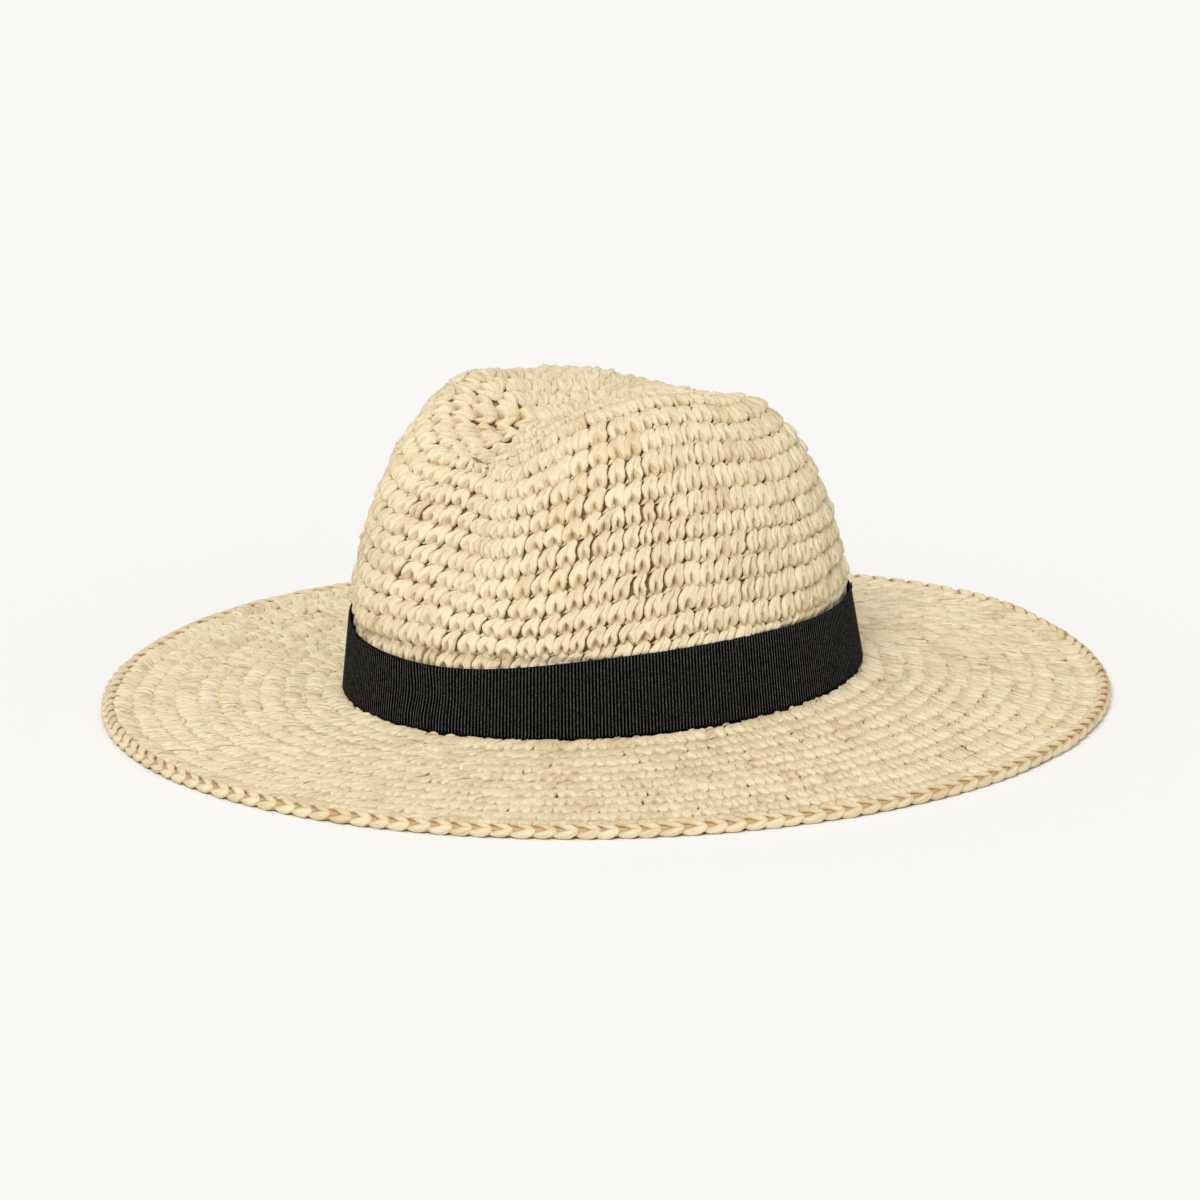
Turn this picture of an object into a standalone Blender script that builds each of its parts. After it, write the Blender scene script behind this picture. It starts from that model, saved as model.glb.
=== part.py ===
"""Crocheted straw sun hat with a pinched crown, a flat wide brim and a grosgrain band.

Frame: +Z up, the brim's edge rests on z = 0, the wearer faces -Y and +X is the wearer's left.
Angles run round the head in degrees: 0 at the back, 90 at the wearer's left, 180 at the front.
"""

import math

import bmesh
import bpy
from mathutils import Vector

# Driving dimensions, in metres.
FABRIC = 0.0040  # thickness of the crocheted fabric
GAP = 0.0003  # clearance between neighbouring pieces
TIP_GAP = 0.0010  # clearance between the tip and the side, whose cut faces lean with the fabric
HEAD_LENGTH = 0.1005  # half length of the crown's oval at the break, to the middle of the fabric
HEAD_WIDTH = 0.0830  # half width of the same oval
BREAK_HEIGHT = 0.0140  # where the crown meets the top of the brim, at mid length
BREAK_TILT = 0.030  # the crown sits lower at the front by this slope
BRIM_LENGTH = 0.1995  # half length of the brim's outline
BRIM_WIDTH = 0.1795  # half width of the brim's outline
HEAD_SHIFT = -0.0015  # the crown's oval sits this far in front of the brim's
RIDGE_FRONT = 0.0577  # the ridge round the crease, forward of its centre
RIDGE_BACK = 0.0605  # the same, behind its centre
RIDGE_WIDTH = 0.0351  # half the distance between the two side ridges
RIDGE_CENTRE = -0.0069
RIDGE_HEIGHT = 0.1124  # height of the side ridges over the break
CREASE_HEIGHT = 0.103  # height of the crease's floor over the break
CHAIN_FRONT = -0.0285  # the starting chain of the crochet runs between these two places
CHAIN_BACK = 0.0125
SIDE_TAPER = 0.0945  # how far the crown's side leans in, per unit of height
TIP_SHARE = 0.36  # share of each line from the tip to the break that belongs to the tip
EDGE_HEIGHT = 0.0056  # height of the finishing round
EDGE_DEPTH = 0.0068
CHANNEL_HEIGHT = 0.0030  # slot in the finishing round that holds the wire
CHANNEL_DEPTH = 0.0038
WIRE_RADIUS = 0.0006
SLEEVE_RADIUS = 0.0012
SLEEVE_HALF_ARC = 4.0  # degrees of the brim's oval
BAND_HEIGHT = 0.0310
BAND_THICKNESS = 0.0008
BAND_LIFT = 0.0008  # from the brim's top to the band's lower edge
BAND_JOIN = 285.0  # where the band's two ends meet, on the wearer's right
KEEPER_HALF_ARC = 4.5
SWEATBAND_HEIGHT = 0.0300
SWEATBAND_THICKNESS = 0.0010
JOIN_THICKNESS = 0.0008
JOIN_HALF_ARC = 5.5
LABEL_THICKNESS = 0.0005
LABEL_HALF_ARC = 9.0
LABEL_HEIGHT = 0.0150
THREAD_RADIUS = 0.00025
TACK_LENGTH = 0.0024
TACK_ANGLES = (20.0, 75.0, 130.0, 190.0, 240.0, 335.0)

ROUND_STEPS = 64
TIP_RINGS = 7
SIDE_RINGS = 9
BRIM_RINGS = 6

STRAW = ((0.80, 0.66, 0.42), 0.75)
BLACK_RIBBON = ((0.012, 0.012, 0.011), 0.70)
COTTON = ((0.62, 0.53, 0.38), 0.85)
THREAD = ((0.72, 0.62, 0.44), 0.60)
WHITE_WOVEN = ((0.80, 0.78, 0.72), 0.80)
STEEL = ((0.55, 0.55, 0.56), 0.35)


def bump(angle, centre, width):
    """1 at the centre angle, falling smoothly to 0 away from it."""
    away = (angle - centre + 180.0) % 360.0 - 180.0
    return math.exp(-((away / width) ** 2))


def head_oval(angle, grow=0.0):
    turn = math.radians(angle)
    along = (HEAD_LENGTH + grow) * math.cos(turn) + HEAD_SHIFT
    return Vector(((HEAD_WIDTH + grow) * math.sin(turn), along))


def brim_oval(angle, grow=0.0):
    turn = math.radians(angle)
    return Vector(((BRIM_WIDTH + grow) * math.sin(turn), (BRIM_LENGTH + grow) * math.cos(turn)))


def brim_lift(angle):
    """The brim's edge stands a little off the table in two places on the wearer's right."""
    return 0.0020 * bump(angle, 235, 30) + 0.0025 * bump(angle, 340, 16)


def break_height(y):
    return BREAK_HEIGHT + BREAK_TILT * y


def ridge_point(angle):
    """A point on the ridge round the crease. Its height is over the mean break."""
    sine, cosine = math.sin(math.radians(angle)), math.cos(math.radians(angle))
    pinched = 1 - 0.10 * bump(angle, 145, 25) - 0.10 * bump(angle, 215, 25)
    reach = RIDGE_BACK if cosine > 0 else RIDGE_FRONT
    x = RIDGE_WIDTH * pinched * math.copysign(abs(sine) ** 0.85, sine)
    y = RIDGE_CENTRE + reach * math.copysign(abs(cosine) ** 0.92, cosine)
    height = RIDGE_HEIGHT - 0.0050 * bump(angle, 187, 18) - 0.0118 * bump(angle, 0, 48)
    height += 0.0074 * bump(angle, 75, 30) - 0.0059 * bump(angle, 312, 31) + 0.0059 * bump(angle, 25, 22)
    height += 0.0025 * bump(angle, 110, 16) - 0.0210 * bump(angle, 151, 37) + 0.0041 * bump(angle, 228, 20)
    return Vector((x, y, height))


def crease_power(angle):
    """The crease's floor is round where this is near 2 and a sharp V where it is near 1."""
    return 1.9 - 0.9 * bump(angle, 200, 60)


def crown_line(angle, inner_steps=24, corner_steps=36, side_steps=16):
    """The fabric's middle from the starting chain, over the ridge and down to the break."""
    ridge = ridge_point(angle)
    foot = head_oval(angle)
    along = math.sin(math.pi / 2 * max(-1.0, min(1.0, 1.5 * math.cos(math.radians(angle)))))
    chain_y = (CHAIN_FRONT + CHAIN_BACK + (CHAIN_BACK - CHAIN_FRONT) * along) / 2
    chain_z = CREASE_HEIGHT + 0.001 * (1 + along)
    points = []
    for step in range(inner_steps + 1):
        part = step / inner_steps
        rise = math.sin(part * math.pi / 2) ** crease_power(angle)
        y = chain_y + (ridge.y - chain_y) * part
        points.append(Vector((ridge.x * part, y, chain_z + (ridge.z - chain_z) * rise)))
    foot_z = BREAK_TILT * foot.y
    drop = ridge.z - foot_z
    reach = (foot - ridge.xy).length
    taper = SIDE_TAPER + 0.079 * bump(angle, 0, 60) - 0.008 * bump(angle, 180, 50)
    corner_reach = reach - taper * drop
    corner_drop = 0.67 * drop
    power = 2 / (2 - 0.22 * bump(angle, 161, 45))
    profile = []
    for step in range(1, corner_steps + 1):
        turn = step / corner_steps * math.pi / 2
        down = corner_drop * (1 - math.cos(turn) ** power)
        profile.append((corner_reach * math.sin(turn) ** power, down))
    for step in range(1, side_steps + 1):
        profile.append((corner_reach, corner_drop + (drop - corner_drop) * step / side_steps))
    outward = Vector((math.sin(math.radians(angle)), math.cos(math.radians(angle))))
    for across, down in profile:
        height = drop - down
        dent = 0.012 * bump(angle, 153, 20) + 0.004 * bump(angle, 224, 20)
        dent *= math.exp(-(((height - 0.80 * drop) / (0.28 * drop)) ** 2))
        flat = ridge.xy.lerp(foot, (across + taper * down) / reach) - dent * outward
        points.append(Vector((flat.x, flat.y, foot_z + height)))
    return [point + Vector((0, 0, BREAK_HEIGHT)) for point in points]


def along_line(points, share):
    """The point at this share of the line's length."""
    lengths = [(b - a).length for a, b in zip(points, points[1:])]
    left = share * sum(lengths)
    for start, end, length in zip(points, points[1:], lengths):
        if left <= length:
            return start.lerp(end, left / length)
        left -= length
    return points[-1].copy()


def crown_wall_point(angle, height, offset):
    """A point beside the crown's wall at this height over the break, moved outwards by offset."""
    line = crown_line(angle)
    foot_z = break_height(line[-1].y)
    for low, high in zip(line[::-1], line[-2::-1]):
        if high.z >= foot_z + height:
            part = (foot_z + height - low.z) / (high.z - low.z)
            point = low.lerp(high, part)
            break
    turn = math.radians(angle)
    normal = Vector((math.sin(turn) / HEAD_WIDTH, math.cos(turn) / HEAD_LENGTH, 0)).normalized()
    return point + normal * offset


def material(name, look):
    colour, roughness = look
    made = bpy.data.materials.new(name)
    made.use_nodes = True
    shader = made.node_tree.nodes["Principled BSDF"]
    shader.inputs["Base Color"].default_value = (*colour, 1)
    shader.inputs["Roughness"].default_value = roughness
    shader.inputs["Metallic"].default_value = 1.0 if look is STEEL else 0.0
    return made


def add_object(name, mesh, look):
    piece = bpy.data.objects.new(name, mesh)
    mesh.materials.append(material(name, look))
    bpy.context.scene.collection.objects.link(piece)
    mesh.shade_smooth()
    mesh.set_sharp_from_angle(angle=math.radians(40))
    return piece


def rings_object(name, rings, look, thickness):
    """Closed rings of points joined into a surface, then given the fabric's thickness."""
    made = bmesh.new()
    rows = [[made.verts.new(point) for point in ring] for ring in rings]
    for upper, lower in zip(rows, rows[1:]):
        for i in range(len(upper)):
            j = (i + 1) % len(upper)
            made.faces.new((upper[i], lower[i], lower[j], upper[j]))
    bmesh.ops.remove_doubles(made, verts=made.verts, dist=1e-6)
    bmesh.ops.recalc_face_normals(made, faces=made.faces)
    mesh = bpy.data.meshes.new(name)
    made.to_mesh(mesh)
    made.free()
    piece = add_object(name, mesh, look)
    solid = piece.modifiers.new("fabric", "SOLIDIFY")
    solid.thickness = thickness
    solid.offset = 0
    return piece


def sweep_object(name, sections, look, closed):
    """One section outline after another joined into a solid, capped at its ends unless closed."""
    made = bmesh.new()
    rows = [[made.verts.new(point) for point in section] for section in sections]
    count = len(rows[0])
    pairs = list(zip(rows, rows[1:])) + ([(rows[-1], rows[0])] if closed else [])
    for near, far in pairs:
        for i in range(count):
            j = (i + 1) % count
            made.faces.new((near[i], near[j], far[j], far[i]))
    if not closed:
        made.faces.new(rows[0][::-1])
        made.faces.new(rows[-1])
    bmesh.ops.recalc_face_normals(made, faces=made.faces)
    mesh = bpy.data.meshes.new(name)
    made.to_mesh(mesh)
    made.free()
    return add_object(name, mesh, look)


def thread_object(name, points, radius, look, closed=False):
    """A round thread or wire through these points."""
    curve = bpy.data.curves.new(name, "CURVE")
    curve.dimensions = "3D"
    curve.bevel_depth = radius
    curve.bevel_resolution = 1
    curve.use_fill_caps = True
    spline = curve.splines.new("POLY")
    spline.points.add(len(points) - 1)
    for place, point in zip(spline.points, points):
        place.co = (*point, 1)
    spline.use_cyclic_u = closed
    spline.use_smooth = True
    curve.materials.append(material(name, look))
    piece = bpy.data.objects.new(name, curve)
    bpy.context.scene.collection.objects.link(piece)
    return piece


def angles(start, end, steps):
    return [start + (end - start) * step / steps for step in range(steps + 1)]


ROUND = angles(0, 360, ROUND_STEPS)[:-1]


def crown():
    """The tip with its crease and pinches, and the side below it, meet at one crochet round."""
    lines = [crown_line(angle) for angle in ROUND]
    length = 0.17  # a line's usual length, which turns the clearance into a share
    tip_end = TIP_SHARE - TIP_GAP / length / 2
    side_start = TIP_SHARE + TIP_GAP / length / 2
    tip_shares = angles(0, tip_end, TIP_RINGS)
    side_shares = angles(side_start, 1, SIDE_RINGS)
    tip = [[along_line(line, share) for line in lines] for share in tip_shares]
    side = [[along_line(line, share) for line in lines] for share in side_shares]
    rings_object("crown_tip", tip, STRAW, FABRIC)
    rings_object("crown_side", side, STRAW, FABRIC)


def brim():
    """A nearly flat ring that drops to its edge. The crown's side stands on its inner rounds."""
    rings = []
    for share in angles(0, 1, BRIM_RINGS):
        ring = []
        for angle in ROUND:
            inner = head_oval(angle, -FABRIC / 2)
            outer = brim_oval(angle, -EDGE_DEPTH - GAP)
            flat = inner.lerp(outer, share)
            top = break_height(inner.y) - GAP - FABRIC / 2
            low = EDGE_HEIGHT / 2 + brim_lift(angle)
            ring.append(Vector((flat.x, flat.y, top + (low - top) * share)))
        rings.append(ring)
    rings_object("brim", rings, STRAW, FABRIC)


def edge_section(angle):
    """The finishing round in section: a rounded C, open towards the brim, with a flat foot."""
    half, mouth = EDGE_HEIGHT / 2, CHANNEL_HEIGHT / 2
    outline = (
        (EDGE_DEPTH, mouth),
        (EDGE_DEPTH, half),
        (0.0016, half),
        (0.0003, half * 0.55),
        (0, 0),
        (0.0003, -half * 0.55),
        (0.0016, -half),
        (EDGE_DEPTH, -half),
        (EDGE_DEPTH, -mouth),
        (EDGE_DEPTH - CHANNEL_DEPTH, -mouth),
        (EDGE_DEPTH - CHANNEL_DEPTH, mouth),
    )
    middle = half + brim_lift(angle)
    return [Vector((*brim_oval(angle, -inward), middle + up)) for inward, up in outline]


def wire_point(angle):
    inward = EDGE_DEPTH - CHANNEL_DEPTH / 2
    return Vector((*brim_oval(angle, -inward), EDGE_HEIGHT / 2 + brim_lift(angle)))


def sleeve():
    """The crimped tube that joins the wire's two ends at the back of the brim."""
    around = 8
    bore = WIRE_RADIUS + GAP
    rings = []
    for angle in angles(-SLEEVE_HALF_ARC, SLEEVE_HALF_ARC, 6):
        outward = Vector((*(brim_oval(angle, 1) - brim_oval(angle)), 0)).normalized()
        rings.append((wire_point(angle), outward))
    made = bmesh.new()
    loops = []
    for radius in (SLEEVE_RADIUS, bore):
        rows = []
        for centre, outward in rings:
            row = []
            for step in range(around):
                turn = 2 * math.pi * step / around
                ray = outward * math.cos(turn) + Vector((0, 0, math.sin(turn)))
                row.append(made.verts.new(centre + radius * ray))
            rows.append(row)
        loops.append(rows)
    for rows in loops:
        for near, far in zip(rows, rows[1:]):
            for i in range(around):
                j = (i + 1) % around
                made.faces.new((near[i], near[j], far[j], far[i]))
    for end in (0, -1):
        for i in range(around):
            j = (i + 1) % around
            made.faces.new((loops[0][end][i], loops[0][end][j], loops[1][end][j], loops[1][end][i]))
    bmesh.ops.recalc_face_normals(made, faces=made.faces)
    mesh = bpy.data.meshes.new("wire_sleeve")
    made.to_mesh(mesh)
    made.free()
    add_object("wire_sleeve", mesh, STEEL)


def brim_edge():
    """The finishing round, and the wire that it wraps, whose ends meet in a sleeve."""
    sweep_object("brim_edge", [edge_section(angle) for angle in ROUND], STRAW, closed=True)
    gap_angle = 0.3
    route = [wire_point(angle) for angle in angles(gap_angle, 360 - gap_angle, 72)]
    thread_object("brim_wire", route, WIRE_RADIUS, STEEL)
    sleeve()


def strip_section(angle, low, high, offset, thickness):
    """A strip that lies along the crown's wall, in section, with its inner face at offset."""
    middle = (low + high) / 2
    outline = ((low, 0), (low, thickness), (middle, thickness), (high, thickness), (high, 0), (middle, 0))
    return [crown_wall_point(angle, height, offset + out) for height, out in outline]


def hatband():
    """The grosgrain band round the crown, its keeper over the join, and its thread tacks."""
    inner = FABRIC / 2 + GAP
    low, high = BAND_LIFT, BAND_LIFT + BAND_HEIGHT
    butt = 0.3
    around = angles(BAND_JOIN + butt, BAND_JOIN + 360 - butt, ROUND_STEPS)
    band = [strip_section(angle, low, high, inner, BAND_THICKNESS) for angle in around]
    sweep_object("hatband", band, BLACK_RIBBON, closed=False)
    over = inner + BAND_THICKNESS + GAP
    keeper_angles = angles(BAND_JOIN - KEEPER_HALF_ARC, BAND_JOIN + KEEPER_HALF_ARC, 4)
    keeper = [strip_section(angle, low, high, over, BAND_THICKNESS) for angle in keeper_angles]
    sweep_object("hatband_keeper", keeper, BLACK_RIBBON, closed=False)
    for number, angle in enumerate(TACK_ANGLES, 1):
        out = over + THREAD_RADIUS
        ends = [crown_wall_point(angle, high - 0.0006 - back * TACK_LENGTH, out) for back in (0, 1)]
        thread_object(f"hatband_tack_{number}", ends, THREAD_RADIUS, BLACK_RIBBON)


def sweatband():
    """The inner band, the tape over its join at the back, its seam thread and a blank label."""
    outer = -FABRIC / 2 - GAP
    low, high = 0.0010, 0.0010 + SWEATBAND_HEIGHT
    face = outer - SWEATBAND_THICKNESS
    ring = [strip_section(angle, low, high, face, SWEATBAND_THICKNESS) for angle in ROUND]
    sweep_object("sweatband", ring, COTTON, closed=True)
    tape_face = face - GAP - JOIN_THICKNESS
    tape_angles = angles(-JOIN_HALF_ARC, JOIN_HALF_ARC, 4)
    tape = [strip_section(angle, low + 0.0045, high, tape_face, JOIN_THICKNESS) for angle in tape_angles]
    sweep_object("sweatband_tape", tape, COTTON, closed=False)
    seam = [crown_wall_point(angle, low + 0.0025, face - GAP - THREAD_RADIUS) for angle in ROUND]
    thread_object("sweatband_seam", seam, THREAD_RADIUS, THREAD, closed=True)
    label_face = tape_face - GAP - LABEL_THICKNESS
    middle = (low + high) / 2 + 0.002
    label_low, label_high = middle - LABEL_HEIGHT / 2, middle + LABEL_HEIGHT / 2
    label_angles = angles(-LABEL_HALF_ARC, LABEL_HALF_ARC, 6)
    label = [
        strip_section(angle, label_low, label_high, label_face, LABEL_THICKNESS)
        for angle in label_angles
    ]
    sweep_object("label", label, WHITE_WOVEN, closed=False)
    for side, angle in (("left", 0.85 * LABEL_HALF_ARC), ("right", -0.85 * LABEL_HALF_ARC)):
        out = label_face - GAP - THREAD_RADIUS
        ends = [crown_wall_point(angle, height, out) for height in (label_low + 0.002, label_high - 0.002)]
        thread_object(f"label_stitch_{side}", ends, THREAD_RADIUS, THREAD)


for leftover in list(bpy.data.objects):
    bpy.data.objects.remove(leftover)
crown()
brim()
brim_edge()
hatband()
sweatband()
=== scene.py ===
"""Looks of the crocheted straw sun hat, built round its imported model.

Every stitch is modelled: a folded body that splits into two legs, and the loop beside its neck. They lie on
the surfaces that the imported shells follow. Angles run round the head in degrees: 0 at the back, 90 at the
wearer's left, 180 at the front. Rows count the rounds of crochet outwards from the start of each surface.
Lengths are in metres.
"""

import math

import bpy
import numpy as np
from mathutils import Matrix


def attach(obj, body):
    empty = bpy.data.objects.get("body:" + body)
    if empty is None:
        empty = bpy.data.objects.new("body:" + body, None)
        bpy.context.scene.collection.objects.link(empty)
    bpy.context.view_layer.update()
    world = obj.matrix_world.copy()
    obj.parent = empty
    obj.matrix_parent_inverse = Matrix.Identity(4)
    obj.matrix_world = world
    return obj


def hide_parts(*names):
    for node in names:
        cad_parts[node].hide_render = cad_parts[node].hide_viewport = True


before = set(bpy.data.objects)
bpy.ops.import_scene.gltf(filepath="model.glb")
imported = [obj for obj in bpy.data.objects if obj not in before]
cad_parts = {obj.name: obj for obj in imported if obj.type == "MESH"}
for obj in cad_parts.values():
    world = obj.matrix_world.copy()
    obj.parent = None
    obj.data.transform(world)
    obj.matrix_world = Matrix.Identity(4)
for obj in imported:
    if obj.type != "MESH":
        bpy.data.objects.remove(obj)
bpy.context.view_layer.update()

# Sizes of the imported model.
FABRIC = 0.0040  # thickness of the shells
GAP = 0.0003  # between neighbours
HEAD_LENGTH = 0.1005  # half the oval where crown and brim meet
HEAD_WIDTH = 0.0830
HEAD_SHIFT = -0.0015
BREAK_HEIGHT = 0.0140  # of that oval, at mid length
BREAK_TILT = 0.030
BRIM_LENGTH = 0.1995  # half the hat
BRIM_WIDTH = 0.1795
RIDGE_FRONT = 0.0577  # the ridge is the crown's highest line, round the crease
RIDGE_BACK = 0.0605
RIDGE_WIDTH = 0.0351
RIDGE_CENTRE = -0.0069
RIDGE_HEIGHT = 0.1124
CREASE_HEIGHT = 0.103
CHAIN_FRONT = -0.0285  # the crochet starts from a chain along the crease
CHAIN_BACK = 0.0125
SIDE_TAPER = 0.0945  # how far the wall leans in for its height
EDGE_HEIGHT = 0.0056
EDGE_DEPTH = 0.0068
BAND_HEIGHT = 0.0310
BAND_THICKNESS = 0.0008
BAND_LIFT = 0.0008
BAND_JOIN = 285.0
KEEPER_HALF_ARC = 4.5
SWEATBAND_HEIGHT = 0.0300
SWEATBAND_THICKNESS = 0.0010
SWEATBAND_LIFT = 0.0010
JOIN_THICKNESS = 0.0008
JOIN_HALF_ARC = 5.5
LABEL_THICKNESS = 0.0005
LABEL_HALF_ARC = 9.0
LABEL_HEIGHT = 0.0150

# The crochet.
CROWN_ROWS = 19
SHOWN_CROWN_ROWS = 17  # the rest are under the band
TIP_ROWS = 7
BRIM_ROWS = 11
CROWN_DRIFT = 0.3  # each round's stitches lean on by this share of a stitch
BRIM_DRIFT = 0.42
WIDTH_ROWS = (0, 3, 6, 12, 18)
CROWN_WIDTHS = (0.0052, 0.0060, 0.0068, 0.0077, 0.0081)  # of a stitch, in those rows
BRIM_STITCH_WIDTH = 0.0077
MOST_IN_PIECE = 340  # stitches, which keeps each piece under 200,000 triangles
BACK_HEIGHTS = (-0.0009, -0.0016)  # of the sheet behind the stitches, which carries their painted shade, from the fabric's middle
EDGE_LINK = 0.0083  # length of a link of the braid round the brim
LOWEST = 0.0001  # the braid stays over this

# A stitch from its neck, under the round before, to the tips of its two legs. Columns: how far along the
# row; half the width, as a share of the stitch; height over the middle of the fabric, in metres; half the
# width of the notch between the legs, as a share of half the width; how deep the notch is.
PUFFED_STITCH = np.array([
    (-0.20, 0.08, -0.0008, 0.04, 0.0),
    (-0.13, 0.13, 0.0000, 0.04, 0.0),
    (-0.05, 0.20, 0.0005, 0.04, 0.0),
    (0.02, 0.27, 0.0009, 0.04, 0.0),
    (0.10, 0.37, 0.0013, 0.04, 0.0),
    (0.20, 0.46, 0.0018, 0.04, 0.0),
    (0.33, 0.500, 0.0021, 0.04, 0.0),
    (0.46, 0.515, 0.0024, 0.04, 0.0),
    (0.56, 0.520, 0.0026, 0.06, 0.2),
    (0.65, 0.520, 0.0028, 0.15, 1.0),
    (0.75, 0.510, 0.0029, 0.26, 1.6),
    (0.85, 0.480, 0.0029, 0.36, 1.8),
    (0.94, 0.440, 0.0027, 0.43, 1.8),
    (1.02, 0.390, 0.0022, 0.49, 1.8),
    (1.08, 0.340, 0.0013, 0.58, 1.8),
    (1.12, 0.300, -0.0002, 0.72, 1.8),
])
TIP_STITCH = PUFFED_STITCH * (1, 1.12, 0.9, 1, 0.8)  # the same, wider and shallower
FLAT_STITCH = np.array([
    (-0.20, 0.10, -0.0004, 0.04, 0.0),
    (-0.11, 0.18, 0.0003, 0.04, 0.0),
    (-0.02, 0.32, 0.0006, 0.04, 0.0),
    (0.08, 0.45, 0.0009, 0.04, 0.0),
    (0.20, 0.53, 0.0011, 0.04, 0.0),
    (0.34, 0.56, 0.0013, 0.04, 0.0),
    (0.50, 0.57, 0.0014, 0.04, 0.0),
    (0.64, 0.57, 0.0015, 0.05, 0.2),
    (0.76, 0.56, 0.0015, 0.12, 0.8),
    (0.87, 0.54, 0.0015, 0.20, 1.0),
    (0.96, 0.51, 0.0014, 0.28, 1.0),
    (1.04, 0.47, 0.0011, 0.38, 1.0),
    (1.10, 0.42, 0.0006, 0.50, 0.9),
    (1.14, 0.38, -0.0002, 0.60, 0.8),
])
# Across each leg from the notch to its outer side: the place, and how far the surface falls away there
# towards the back of the fabric: at the notch, along the body's sides, and at the tips' outer sides.
LEG_PLACES = np.array([0.0, 0.12, 0.35, 0.65, 0.88, 1.0])
NOTCH_FALL = np.array([0.40, 0.08, 0.0, 0.0, 0.0, 0.0])
BODY_FALL = np.array([0.0, 0.0, 0.0, 0.0, 0.07, 0.42])
TIP_FALL = np.array([0.0, 0.0, 0.0, 0.08, 0.30, 0.70])
STITCH_BACK = -0.0010
NOTCH_DROP = 0.0026  # how far the middle of a notch of depth 1 lies under the legs
STREAK_WIDTH = 0.0035  # stands for half a body's width in the straw's streaks
# How much one stitch differs from the next, as shares, or in metres where it is raised or folded.
SPREAD = {
    "notch": 0.25,
    "notch depth": 0.35,
    "height": 0.10,
    "lift": 0.00018,
    "leg lift": 0.00016,
    "fold": 0.00022,
    "fold along": 0.00018,
    "crumple": 0.00009,
    "width": 0.05,
    "leg width": 0.06,
    "outline": 0.025,
    "lean": 0.05,
    "neck": 0.05,
    "length": 0.03,
    "leg length": 0.035,
    "tip": 0.012,
}
LOOP_SPREAD = {"place": 0.04, "lift": 0.00025, "width": 0.15, "thickness": 0.12, "roll": 10, "folds": 2.0}
LIMIT = 2.2  # no random value goes further, in spreads
MISSED = 0.07  # share of stitches that are narrower, which leaves holes
# The loop beside a neck. Columns: across the stitch and along the row, as shares; height, in metres; half
# the width as a share of the row; half the thickness.
LOOP = np.array([
    (0.10, 0.02, -0.0004, 0.05, 0.0004),
    (0.20, 0.00, 0.0002, 0.09, 0.0006),
    (0.32, 0.02, 0.0005, 0.11, 0.0007),
    (0.44, 0.06, 0.0005, 0.09, 0.0006),
    (0.56, 0.11, 0.0001, 0.05, 0.0004),
    (0.64, 0.14, -0.0005, 0.02, 0.0003),
])
AROUND_LOOP = 7
AROUND_ARM = 14


def bump(angle, centre, width):
    """1 at the centre angle, falling smoothly to 0 away from it."""
    away = (angle - centre + 180.0) % 360.0 - 180.0
    return np.exp(-((away / width) ** 2))


def smooth(share):
    share = np.clip(share, 0.0, 1.0)
    return share * share * (3 - 2 * share)


def unit(vectors):
    return vectors / np.maximum(np.linalg.norm(vectors, axis=-1, keepdims=True), 1e-12)


def signed_power(value, power):
    return np.sign(value) * np.abs(value) ** power


def lengths_along(points):
    """The distance from the first point of a line to each of its points."""
    return np.append(0, np.cumsum(np.linalg.norm(np.diff(points, axis=0), axis=1)))


def blended(grid, around, along):
    """Values of a grid that closes round its first axis, at places counted in its steps."""
    i = np.floor(around).astype(int) % len(grid)
    j = np.minimum(np.floor(along).astype(int), grid.shape[1] - 2)
    s, t = (around - np.floor(around))[..., None], (along - j)[..., None]
    k = (i + 1) % len(grid)
    near = grid[i, j] * (1 - t) + grid[i, j + 1] * t
    far = grid[k, j] * (1 - t) + grid[k, j + 1] * t
    return near * (1 - s) + far * s


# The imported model's surfaces.


def head_oval(angle, grow=0.0):
    turn = np.radians(angle)
    along = (HEAD_LENGTH + grow) * np.cos(turn) + HEAD_SHIFT
    return np.stack([(HEAD_WIDTH + grow) * np.sin(turn), along], axis=-1)


def brim_oval(angle, grow=0.0):
    turn = np.radians(angle)
    return np.stack([(BRIM_WIDTH + grow) * np.sin(turn), (BRIM_LENGTH + grow) * np.cos(turn)], axis=-1)


def brim_lift(angle):
    return 0.0020 * bump(angle, 235, 30) + 0.0025 * bump(angle, 340, 16)


def break_height(y):
    return BREAK_HEIGHT + BREAK_TILT * y


def ridge_points(angle):
    sine, cosine = np.sin(np.radians(angle)), np.cos(np.radians(angle))
    pinched = 1 - 0.10 * bump(angle, 145, 25) - 0.10 * bump(angle, 215, 25)
    reach = np.where(cosine > 0, RIDGE_BACK, RIDGE_FRONT)
    x = RIDGE_WIDTH * pinched * signed_power(sine, 0.85)
    y = RIDGE_CENTRE + reach * signed_power(cosine, 0.92)
    height = RIDGE_HEIGHT - 0.0050 * bump(angle, 187, 18) - 0.0118 * bump(angle, 0, 48)
    height += 0.0074 * bump(angle, 75, 30) - 0.0059 * bump(angle, 312, 31) + 0.0059 * bump(angle, 25, 22)
    height += 0.0025 * bump(angle, 110, 16) - 0.0210 * bump(angle, 151, 37) + 0.0041 * bump(angle, 228, 20)
    return np.stack([x, y, height], axis=-1)


def crease_power(angle):
    return 1.9 - 0.9 * bump(angle, 200, 60)


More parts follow.
